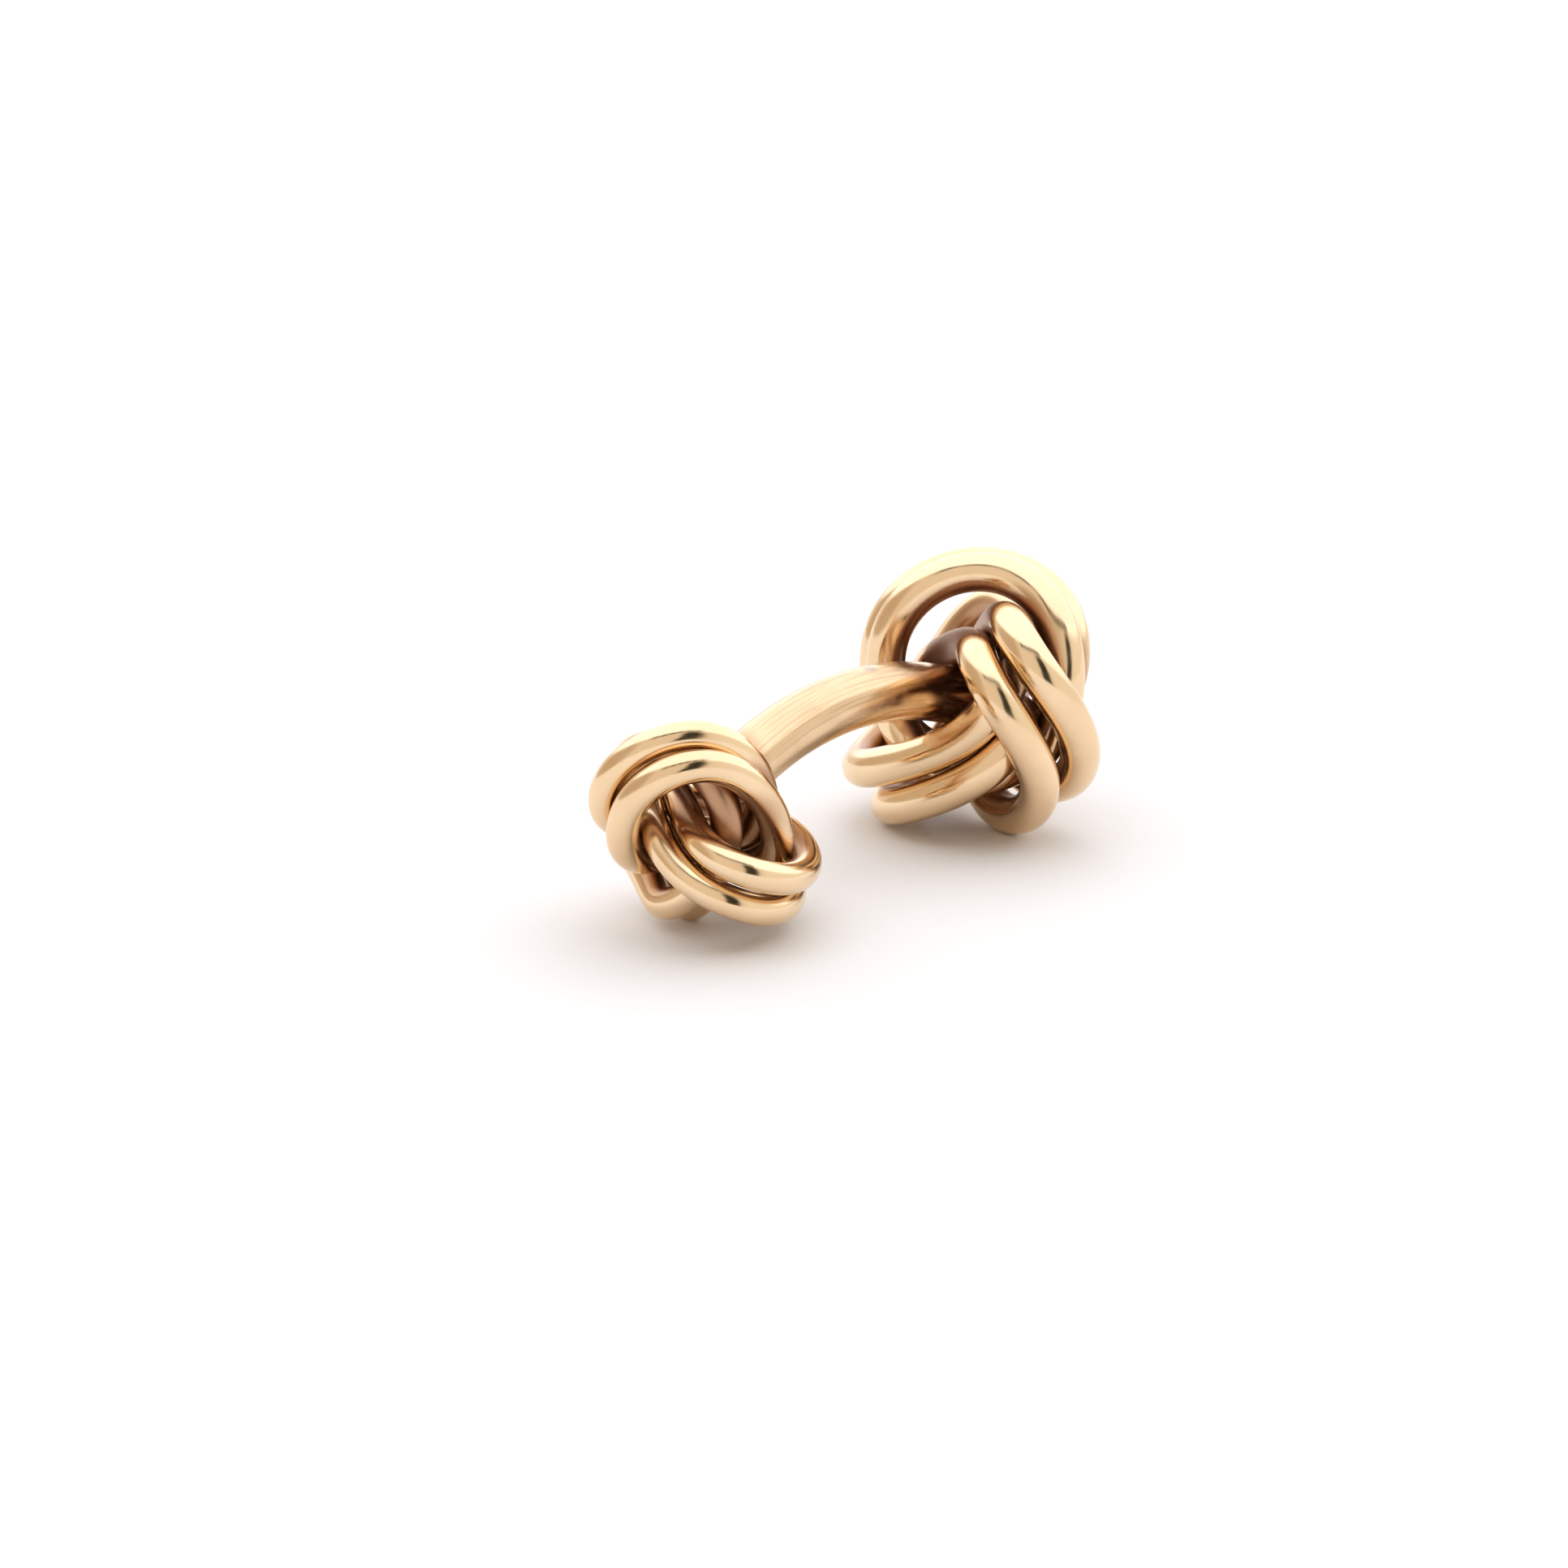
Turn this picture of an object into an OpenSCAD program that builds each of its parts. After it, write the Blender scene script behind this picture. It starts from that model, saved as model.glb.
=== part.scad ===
// Double-knot cufflink: two knots of linked round-wire loops on an arched bar.
// Each knot is six closed loops. They run in three parallel pairs that pass
// through one another, a third of a turn apart about the knot's axis, and
// each pair differs a little from the others, as hand-bent wire does.
// The cufflink lies on the plane z = 0, with its bar along X and the large
// knot at +X. All sizes are in millimetres, all angles in degrees.

/* [Large knot] */
// Diameter of the wire
large_wire_d = 1.76; // [1.66:0.01:1.78]
// Mean distance between the middle lines of the two loops of a pair
large_pitch = 1.96; // [1.93:0.01:2]
// How much the two loops of a pair draw apart on one side
large_spread = 0.22; // [0.15:0.01:0.26]
// Where along the loop they are farthest apart
large_spread_at = 58; // [50:1:66]
// How much they draw apart twice along the loop
large_second_spread = 0.1; // [0.05:0.01:0.15]
// Where that is the most, as twice the angle
large_second_spread_at = 116; // [108:1:124]
// Half length of a pair's oval middle line
large_half_length = 4.32; // [4.31:0.01:4.35]
// Half width of a pair's oval middle line
large_half_width = 4.37; // [4.34:0.01:4.41]
// Distance of a pair's centre from the knot's axis
large_offset = 1.02; // [1.01:0.01:1.04]
// Shift of a pair's centre around the knot's axis
large_shift = -0.01; // [-0.02:0.01:0.02]
// Shift of a pair's centre along the knot's axis, away from the bar
large_lift = -0.3; // [-0.4:0.01:-0.23]
// Lean of a pair's plane out of the knot's equator
large_lean = 35.3; // [34.9:0.1:35.7]
// Turn of the oval in its own plane
large_turn = -56; // [-56.8:0.1:-54.7]
// Mean tilt of a pair, one loop over the other
large_tilt = 17.9; // [17:0.1:19]
// How much longer one half of the oval is than the other
large_long_egg = 0.27; // [0.23:0.01:0.28]
// How far the oval's sides are pulled lengthwise, each its own way
large_long_skew = 0.62; // [0.59:0.01:0.67]
// How far the oval's ends are pulled sideways
large_wide_egg = -0.8; // [-0.84:0.01:-0.77]
// How much wider one half of the oval is than the other
large_wide_skew = -0.16; // [-0.2:0.01:-0.06]
// Depth of the saddle bend that lets the pairs clear one another
large_bend = 0.11; // [0.08:0.01:0.14]
// Where along the oval the saddle bend is highest, as twice the angle
large_bend_at = -106; // [-114:1:-98]
// Depth of a second bend, three times along the oval
large_wave = 0.42; // [0.4:0.01:0.45]
// Where the second bend is highest, as three times the angle
large_wave_at = -25; // [-30:1:-17]
// Swing of the tilt once along the loop
large_swing = 37.3; // [35.3:0.1:38.6]
// Where the swing is highest
large_swing_at = -74; // [-81:1:-73]
// Second swing of the tilt, twice along the loop
large_ripple = 13; // [11.6:0.1:14.3]
// Where the second swing is highest, as twice the angle
large_ripple_at = 138; // [132:1:146]
// Roll of the knot about its own axis
large_roll = 82.2; // [80.2:0.1:84.2]
// Cant of the knot on the bar's end, about the level line across the bar
large_cant_x = 11.5; // [9.5:0.1:11.9]
// Cant of the knot on the bar's end, about the line square to that and to the bar
large_cant_y = -8.7; // [-10.7:0.1:-6.7]

/* [Small knot] */
// Diameter of the wire
small_wire_d = 1.32; // [1.22:0.01:1.33]
// Mean distance between the middle lines of the two loops of a pair
small_pitch = 1.46; // [1.43:0.01:1.49]
// How much the two loops of a pair draw apart on one side
small_spread = 0.14; // [0.1:0.01:0.18]
// Where along the loop they are farthest apart
small_spread_at = 91; // [83:1:99]
// How much they draw apart twice along the loop
small_second_spread = 0.06; // [0.02:0.01:0.11]
// Where that is the most, as twice the angle
small_second_spread_at = -178; // [-180:1:-170]
// Half length of a pair's oval middle line
small_half_length = 3.04; // [3.02:0.01:3.06]
// Half width of a pair's oval middle line
small_half_width = 3.37; // [3.35:0.01:3.4]
// Distance of a pair's centre from the knot's axis
small_offset = 1.31; // [1.3:0.01:1.32]
// Shift of a pair's centre around the knot's axis
small_shift = -0.07; // [-0.08:0.01:-0.03]
// Shift of a pair's centre along the knot's axis, away from the bar
small_lift = -0.17; // [-0.27:0.01:-0.07]
// Lean of a pair's plane out of the knot's equator
small_lean = 40.4; // [40:0.1:41]
// Turn of the oval in its own plane
small_turn = -59; // [-59.7:0.1:-57.9]
// Mean tilt of a pair, one loop over the other
small_tilt = 15.5; // [13.8:0.1:16.2]
// How much longer one half of the oval is than the other
small_long_egg = 0.39; // [0.36:0.01:0.41]
// How far the oval's sides are pulled lengthwise, each its own way
small_long_skew = 0.05; // [0.04:0.01:0.1]
// How far the oval's ends are pulled sideways
small_wide_egg = 0.23; // [0.2:0.01:0.25]
// How much wider one half of the oval is than the other
small_wide_skew = 0.22; // [0.18:0.01:0.26]
// Depth of the saddle bend that lets the pairs clear one another
small_bend = 0.35; // [0.33:0.01:0.36]
// Where along the oval the saddle bend is highest, as twice the angle
small_bend_at = -98; // [-100:1:-92]
// Depth of a second bend, three times along the oval
small_wave = 0.15; // [0.14:0.01:0.17]
// Where the second bend is highest, as three times the angle
small_wave_at = 159; // [153:1:167]
// Swing of the tilt once along the loop
small_swing = 33.4; // [32.1:0.1:34.4]
// Where the swing is highest
small_swing_at = -103; // [-108:1:-101]
// Second swing of the tilt, twice along the loop
small_ripple = 14.9; // [13.7:0.1:16.2]
// Where the second swing is highest, as twice the angle
small_ripple_at = 110; // [107:1:115]
// Roll of the knot about its own axis
small_roll = 72.3; // [70.3:0.1:74.3]
// Cant of the knot on the bar's end, about the level line across the bar
small_cant_x = 4.3; // [2.3:0.1:6.3]
// Cant of the knot on the bar's end, about the line square to that and to the bar
small_cant_y = -4.2; // [-6.2:0.1:-2.2]

/* [Cuff bar] */
// Diameter of the bar
bar_d = 2.55; // [2.4:0.01:2.57]
// Radius of the bar's arch, to its middle line
arch_r = 18; // [17:0.1:19]
// Angle from the arch's top to the large knot's seat
large_seat_angle = 26.4; // [26:0.1:27.9]
// Angle from the arch's top to the small knot's seat
small_seat_angle = 34.3; // [32.8:0.1:35.8]
// Angle from the arch's top to where the bar's end in the large knot starts to round off
large_end_angle = 21; // [19:0.1:21.4]
// Angle from the arch's top to where the bar's end at the small knot starts to round off
small_end_angle = 24.5; // [22.5:0.1:26.1]
// Length of the rounded nose at each end of the bar
nose_length = 0.9; // [0.4:0.1:1.4]

/* [Rest] */
// Roll about X at which the cufflink comes to rest
rest_roll = -6.57; // [-7:0.01:-6.2]
// Pitch about Y at which both knots touch the surface
rest_pitch = -0.18; // [-0.5:0.01:0.2]

/* [Hidden] */

GOLD = "#e3b878";
BAR_GOLD = "#d9ac6a";

// Sections along a loop, sides of its round, and the step that finds its heading
SECTIONS = 48;
SIDES = 12;
HEADING_STEP = 0.5;

// Sides of the bar's round, steps of a full turn of its arch, and steps of its nose's outline
BAR_SIDES = 64;
ARCH_STEPS = 180;
NOSE_STEPS = 6;

// The nose is a little thinner than the bar, and its root reaches back into it
nose_d = 0.92 * bar_d;
nose_root = 0.3;

// The pairs of a knot and the turn from one to the next
PAIRS = 3;
PAIR_STEP = -360 / PAIRS;

// Columns of a knot's table. The first 12 are also the columns of its pairs' own table
LENGTH = 0;
WIDTH = 1;
OFFSET = 2;
SHIFT = 3;
LIFT = 4;
LEAN = 5;
TURN = 6;
TILT = 7;
LONG_EGG = 8;
LONG_SKEW = 9;
WIDE_EGG = 10;
WIDE_SKEW = 11;
WIRE = 12;
PITCH = 13;
SPREAD = 14;
SPREAD_AT = 15;
SECOND = 16;
SECOND_AT = 17;
BEND = 18;
BEND_AT = 19;
WAVE = 20;
WAVE_AT = 21;
SWING = 22;
SWING_AT = 23;
RIPPLE = 24;
RIPPLE_AT = 25;
ROLL = 26;
CANT_X = 27;
CANT_Y = 28;
ARC = 29;
OWN = 30;

// How far each pair departs from its knot's mean shape: a row for each pair, and in it
// half length, half width, offset, shift, lift, lean, turn, tilt, long egg, long skew, wide egg, wide skew
LARGE_OWN = [
    [-0.06, -0.21, 0.08, -0.14, 0.25, -6.6, 0.2, -8.1, -0.4, 0.09, 0.02, 0.14],
    [-0.74, 0.4, 0.03, 0.4, -0.13, -1, 7.7, 1.8, 0.07, 0.15, 0.31, -0.28],
    [0.81, -0.18, -0.1, -0.26, -0.12, 7.8, -8, 6.2, 0.33, -0.24, -0.34, 0.14]];
SMALL_OWN = [
    [-0.19, 0.01, -0.08, -0.02, 0.09, 1.7, -5.6, -1.1, -0.02, -0.02, 0.05, 0.15],
    [0.05, 0.22, -0.19, -0.03, -0.07, -2.9, 1, 4.4, 0.21, 0.07, -0.42, 0.02],
    [0.12, -0.23, 0.27, 0.04, -0.02, 1.1, 4.6, -3.4, -0.2, -0.04, 0.37, -0.17]];

LARGE = [large_half_length, large_half_width, large_offset, large_shift, large_lift, large_lean, large_turn,
         large_tilt, large_long_egg, large_long_skew, large_wide_egg, large_wide_skew, large_wire_d,
         large_pitch, large_spread, large_spread_at, large_second_spread, large_second_spread_at,
         large_bend, large_bend_at, large_wave, large_wave_at, large_swing, large_swing_at, large_ripple,
         large_ripple_at, large_roll, large_cant_x, large_cant_y, -large_seat_angle, LARGE_OWN];
SMALL = [small_half_length, small_half_width, small_offset, small_shift, small_lift, small_lean, small_turn,
         small_tilt, small_long_egg, small_long_skew, small_wide_egg, small_wide_skew, small_wire_d,
         small_pitch, small_spread, small_spread_at, small_second_spread, small_second_spread_at,
         small_bend, small_bend_at, small_wave, small_wave_at, small_swing, small_swing_at, small_ripple,
         small_ripple_at, small_roll, small_cant_x, small_cant_y, small_seat_angle, SMALL_OWN];

function unit(v) = v / norm(v);
function across(v, along) = unit(v - (v * along) * along);
function about_x(p, a) = [p.x, p.y * cos(a) - p.z * sin(a), p.y * sin(a) + p.z * cos(a)];
function about_y(p, a) = [p.x * cos(a) + p.z * sin(a), p.y, p.z * cos(a) - p.x * sin(a)];
function about_z(p, a) = [p.x * cos(a) - p.y * sin(a), p.x * sin(a) + p.y * cos(a), p.z];

// A size of one pair: the knot's own and what the pair departs from it
function of_pair(k, pair, column) = k[column] + k[OWN][pair][column];

// Directions of one pair of loops: away from the knot's axis, around it, up its plane, and out of its plane
function outward(pair) = [cos(PAIR_STEP * pair), sin(PAIR_STEP * pair), 0];
function around(pair) = [-sin(PAIR_STEP * pair), cos(PAIR_STEP * pair), 0];
function uphill(k, pair) =
    let (lean = of_pair(k, pair, LEAN))
    cos(lean) * around(pair) + sin(lean) * [0, 0, 1];
function facing(k, pair) = cross(outward(pair), uphill(k, pair));
function long_way(k, pair) =
    let (turn = of_pair(k, pair, TURN))
    cos(turn) * outward(pair) + sin(turn) * uphill(k, pair);
function wide_way(k, pair) = cross(facing(k, pair), long_way(k, pair));

// Middle line of a pair at the angle t: a bent oval, egg-shaped and skewed a little
function pair_centre(k, pair) =
    of_pair(k, pair, OFFSET) * outward(pair) + of_pair(k, pair, SHIFT) * around(pair)
    + of_pair(k, pair, LIFT) * [0, 0, 1];
function along_oval(k, pair, t) =
    of_pair(k, pair, LENGTH) * cos(t) + of_pair(k, pair, LONG_EGG) * cos(2 * t)
    + of_pair(k, pair, LONG_SKEW) * sin(2 * t);
function across_oval(k, pair, t) =
    of_pair(k, pair, WIDTH) * sin(t) + of_pair(k, pair, WIDE_EGG) * cos(2 * t)
    + of_pair(k, pair, WIDE_SKEW) * sin(2 * t);
function off_oval(k, t) = k[BEND] * cos(2 * t - k[BEND_AT]) + k[WAVE] * cos(3 * t - k[WAVE_AT]);
function pair_point(k, pair, t) =
    pair_centre(k, pair)
    + along_oval(k, pair, t) * long_way(k, pair)
    + across_oval(k, pair, t) * wide_way(k, pair)
    + off_oval(k, t) * facing(k, pair);
function pair_heading(k, pair, t) =
    unit(pair_point(k, pair, t + HEADING_STEP / 2) - pair_point(k, pair, t - HEADING_STEP / 2));

// Direction and distance from one loop of the pair to the other
function pair_tilt(k, pair, t) =
    of_pair(k, pair, TILT) + k[SWING] * cos(t - k[SWING_AT]) + k[RIPPLE] * cos(2 * t - k[RIPPLE_AT]);
function pair_side(k, pair, t) =
    let (heading = pair_heading(k, pair, t),
         level = across(facing(k, pair), heading),
         tilt = pair_tilt(k, pair, t))
    cos(tilt) * level + sin(tilt) * cross(heading, level);
function pair_gap(k, t) =
    k[PITCH] + k[SPREAD] * cos(t - k[SPREAD_AT]) + k[SECOND] * cos(2 * t - k[SECOND_AT]);
function wire_point(k, pair, side, t) =
    pair_point(k, pair, t) + side * pair_gap(k, t) / 2 * pair_side(k, pair, t);

// One round section of the wire, as points
function wire_section(k, pair, side, t) =
    let (heading = unit(wire_point(k, pair, side, t + HEADING_STEP) - wire_point(k, pair, side, t - HEADING_STEP)),
         first = across(pair_side(k, pair, t), heading),
         second = cross(heading, first),
         middle = wire_point(k, pair, side, t))
    [for (n = [0 : SIDES - 1])
        middle + k[WIRE] / 2 * (cos(360 * n / SIDES) * first + sin(360 * n / SIDES) * second)];

// The bar's arch, from the small knot's end at positive angles to the large knot's at negative ones
function arch_point(angle) = arch_r * [-sin(angle), 0, cos(angle)];
function to_arch(k, p) =
    let (q = about_y(about_x(about_z(p, k[ROLL]), k[CANT_X]), k[CANT_Y]),
         a = k[ARC])
    arch_point(a) + q.x * [0, -1, 0] + q.y * [-sin(a), 0, cos(a)] + q.z * [-cos(a), 0, -sin(a)];

// The attitude at rest: rolled about X, then pitched about Y
function at_rest(p) = about_y(about_x(p, rest_roll), rest_pitch);
function loop_points(k, pair, side) =
    [for (m = [0 : SECTIONS - 1])
        for (p = wire_section(k, pair, side, 360 * m / SECTIONS))
            at_rest(to_arch(k, p))];

// The middle of the footprint, at the height of the surface it lies on
ALL_POINTS = [for (k = [LARGE, SMALL]) for (pair = [0 : PAIRS - 1]) for (side = [1, -1])
              each loop_points(k, pair, side)];
XS = [for (p = ALL_POINTS) p.x];
YS = [for (p = ALL_POINTS) p.y];
ZS = [for (p = ALL_POINTS) p.z];
ORIGIN = [(min(XS) + max(XS)) / 2, (min(YS) + max(YS)) / 2, min(ZS)];

LOOP_FACES = [for (m = [0 : SECTIONS - 1]) for (n = [0 : SIDES - 1])
              let (a = m * SIDES + n,
                   b = m * SIDES + (n + 1) % SIDES,
                   c = (m + 1) % SECTIONS * SIDES + (n + 1) % SIDES,
                   d = (m + 1) % SECTIONS * SIDES + n)
              each [[a, b, c], [a, c, d]]];

// One closed loop of wire; side 1 and side -1 are the two loops of a pair
module loop(k, pair, side) {
    color(GOLD)
    translate(-ORIGIN)
    polyhedron(points = loop_points(k, pair, side), faces = LOOP_FACES);
}

// Half outline of a bar's rounded nose
function nose_outline() =
    [for (n = [0 : NOSE_STEPS]) [nose_d / 2 * cos(90 * n / NOSE_STEPS), nose_length * sin(90 * n / NOSE_STEPS)]];

module nose() {
    rotate_extrude($fn = BAR_SIDES)
    polygon(concat([[0, -nose_root], [nose_d / 2, -nose_root]], nose_outline()));
}

module cuff_bar() {
    color(BAR_GOLD)
    translate(-ORIGIN)
    rotate([rest_roll, rest_pitch, 0])
    union() {
        rotate([90, 0, 0])
        rotate([0, 0, 90 - large_end_angle])
        rotate_extrude(angle = large_end_angle + small_end_angle, $fn = ARCH_STEPS)
        translate([arch_r, 0])
        circle(d = bar_d, $fn = BAR_SIDES);
        translate(arch_point(-large_end_angle))
        rotate([0, 90 + large_end_angle, 0])
        nose();
        translate(arch_point(small_end_angle))
        rotate([0, -90 - small_end_angle, 0])
        nose();
    }
}

loop(LARGE, 0, 1);  // large_loop_1a
loop(LARGE, 0, -1);  // large_loop_1b
loop(LARGE, 1, 1);  // large_loop_2a
loop(LARGE, 1, -1);  // large_loop_2b
loop(LARGE, 2, 1);  // large_loop_3a
loop(LARGE, 2, -1);  // large_loop_3b
loop(SMALL, 0, 1);  // small_loop_1a
loop(SMALL, 0, -1);  // small_loop_1b
loop(SMALL, 1, 1);  // small_loop_2a
loop(SMALL, 1, -1);  // small_loop_2b
loop(SMALL, 2, 1);  // small_loop_3a
loop(SMALL, 2, -1);  // small_loop_3b
cuff_bar();
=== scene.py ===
"""A gold double-knot cufflink: two knots of linked wire loops on an arched bar, lying on a white sheet."""
import logging
import math
from dataclasses import astuple, dataclass
from enum import Enum

import bmesh
import bpy
from mathutils import Matrix, Quaternion, Vector


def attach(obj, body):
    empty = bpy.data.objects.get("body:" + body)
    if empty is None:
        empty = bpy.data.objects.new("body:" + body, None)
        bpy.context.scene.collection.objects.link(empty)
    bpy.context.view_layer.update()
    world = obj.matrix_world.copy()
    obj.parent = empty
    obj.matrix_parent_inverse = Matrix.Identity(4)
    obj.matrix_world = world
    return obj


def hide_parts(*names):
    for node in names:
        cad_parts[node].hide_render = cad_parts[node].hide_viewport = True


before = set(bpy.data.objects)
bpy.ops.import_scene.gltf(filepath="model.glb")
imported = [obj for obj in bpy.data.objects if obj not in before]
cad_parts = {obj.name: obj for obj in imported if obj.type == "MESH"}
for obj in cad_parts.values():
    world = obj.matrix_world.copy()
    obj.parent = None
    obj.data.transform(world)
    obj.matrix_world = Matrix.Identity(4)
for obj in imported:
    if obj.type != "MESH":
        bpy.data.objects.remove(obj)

MM = 0.001
BODY = "root"
GRAIN = "grain"
BAR_WAY = Vector((1.0, 0.0, 0.0))
UP = Vector((0.0, 0.0, 1.0))
LOG = logging.getLogger("cufflink")
Colour = tuple[float, float, float]
Point = tuple[float, float, float]
Socket = bpy.types.NodeSocket
# What a node's input is given: an output that is joined to it, or a constant.
Input = Socket | float | Vector | tuple[float, ...]


class Side(Enum):
    """The two loops of a pair, on either side of the pair's middle line."""

    FIRST = 1
    SECOND = -1

    @property
    def letter(self) -> str:
        """The letter that the loop's name ends with."""
        return "a" if self is Side.FIRST else "b"


class Way(Enum):
    """The two ways along the arch."""

    TO_LARGE_KNOT = 1
    TO_SMALL_KNOT = -1


class Slot(Enum):
    """The record's material slots."""

    LOOPS = "loop_gold"
    BAR = "bar_gold"


class Join(Enum):
    """How two values are joined into one."""

    ADDED = "ADD"
    MULTIPLIED = "MULTIPLY"
    LARGER = "MAXIMUM"


class VectorJoin(Enum):
    """How directions and places are joined into a new one or into a value."""

    MULTIPLIED = "MULTIPLY"
    DIFFERENCE = "SUBTRACT"
    UNIT = "NORMALIZE"
    DOT = "DOT_PRODUCT"
    DISTANCE = "DISTANCE"


class Detail(Enum):
    """How broken up a noise pattern is."""

    SMOOTH = 1.0
    SOFT = 2.0
    RAGGED = 3.0
    FINE = 4.0


@dataclass(frozen=True)
class Ramp:
    """An eased change from a start to an end, while the value that drives it goes from low to high."""

    low: float
    high: float
    start: float = 0.0
    end: float = 1.0


def degrees_cos(angle: float) -> float:
    """Cosine of an angle in degrees."""
    return math.cos(math.radians(angle))


def degrees_sin(angle: float) -> float:
    """Sine of an angle in degrees."""
    return math.sin(math.radians(angle))


def turned(angle: float, axis: str) -> Matrix:
    """A turn by an angle in degrees about one of the axes."""
    return Matrix.Rotation(math.radians(angle), 4, axis)


def across(direction: Vector, along: Vector) -> Vector:
    """The part of a direction that is square to another one, as a unit vector."""
    return (direction - direction.dot(along) * along).normalized()


def way_to(azimuth: float, height: float) -> Vector:
    """The unit vector at an azimuth, 0 towards -Y and 90 towards +X, and a height, in degrees."""
    level = degrees_cos(height)
    return Vector((degrees_sin(azimuth) * level, -degrees_cos(azimuth) * level, degrees_sin(height)))


def station(origin: Vector, first: Vector, second: Vector, heading: Vector) -> Matrix:
    """Makes the placement of one round section.

    Args:
        origin: the section's middle.
        first: the direction of the round's own X.
        second: the direction of the round's own Y.
        heading: the direction that the wire runs in.

    Returns:
        The matrix that carries a flat circle to the section.
    """
    placed = Matrix((first, second, heading)).transposed().to_4x4()
    placed.translation = origin
    return placed


def distances(stations: list[Matrix], closed: bool) -> list[float]:
    """Gives each section's distance along the wire.

    Args:
        stations: the placements of the sections.
        closed: True for a ring, whose second half counts back to its start, so that no seam shows.

    Returns:
        The distances, in the unit that the sections are placed in.
    """
    run = [0.0]
    for before, after in zip(stations, stations[1:]):
        run.append(run[-1] + (after.translation - before.translation).length)
    if not closed:
        return run
    whole = run[-1] + (stations[0].translation - stations[-1].translation).length
    return [min(reached, whole - reached) for reached in run]


def sweep(shape: bmesh.types.BMesh, stations: list[Matrix], radius: float, sides: int, closed: bool) -> None:
    """Draws a round wire through its sections by extruding one circle from each to the next.

    Each point also gets its grain coordinates, which are its place in the round section and its distance
    along the wire.

    Args:
        shape: the empty mesh that the wire is made in.
        stations: the placements of the sections, whose scale sets the wire's local thickness.
        radius: the wire's radius, in the sections' own unit.
        sides: the number of sides of the round.
        closed: True for a ring, False for a rod whose ends are filled.
    """
    grain = shape.verts.layers.float_vector.new(GRAIN)
    run = distances(stations, closed)
    verts = bmesh.ops.create_circle(shape, segments=sides, radius=radius, matrix=stations[0])["verts"]
    first_edges = list(shape.edges)
    edges = first_edges
    mark_grain(verts, grain, stations[0], run[0])
    for before, after, reached in zip(stations, stations[1:], run[1:]):
        grown = bmesh.ops.extrude_edge_only(shape, edges=edges)["geom"]
        verts = [part for part in grown if isinstance(part, bmesh.types.BMVert)]
        new = set(verts)
        edges = [part for part in grown if isinstance(part, bmesh.types.BMEdge)
                 and part.verts[0] in new and part.verts[1] in new]
        bmesh.ops.transform(shape, matrix=after @ before.inverted(), verts=verts)
        mark_grain(verts, grain, after, reached)
    if closed:
        bmesh.ops.bridge_loops(shape, edges=first_edges + edges)
    else:
        bmesh.ops.contextual_create(shape, geom=first_edges)
        bmesh.ops.contextual_create(shape, geom=edges)
    bmesh.ops.recalc_face_normals(shape, faces=shape.faces)


def mark_grain(verts: list[bmesh.types.BMVert], grain: bmesh.types.BMLayerItem, placed: Matrix,
               reached: float) -> None:
    """Writes one section's grain coordinates.

    Args:
        verts: the section's points.
        grain: the mesh layer.
        placed: the section's placement.
        reached: its distance along the wire, in metres.
    """
    back = placed.normalized().inverted()
    for vertex in verts:
        flat = back @ vertex.co
        vertex[grain] = (flat.x, flat.y, reached)


def finished_object(name: str, shape: bmesh.types.BMesh) -> bpy.types.Object:
    """Turns a finished mesh into a smooth-shaded object at the origin.

    Args:
        name: the piece's name.
        shape: the mesh, which is freed.

    Returns:
        The new object.
    """
    mesh = bpy.data.meshes.new(name)
    shape.to_mesh(mesh)
    shape.free()
    mesh.shade_smooth()
    piece = bpy.data.objects.new(name, mesh)
    bpy.context.scene.collection.objects.link(piece)
    return piece


def settle(piece: bpy.types.Object, finish: bpy.types.Material, node: str) -> None:
    """Gives a piece its material and ties it to the part.

    Args:
        piece: the finished object.
        finish: its material.
        node: the CAD node that it stands for.
    """
    piece.data.materials.append(finish)
    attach(piece, BODY)
    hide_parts(node)


def blank_material(name: str) -> bpy.types.Material:
    """Makes a material whose nodes are still to be laid out.

    Args:
        name: the material's name.

    Returns:
        The material.
    """
    material = bpy.data.materials.new(name)
    material.use_nodes = True
    return material


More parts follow.
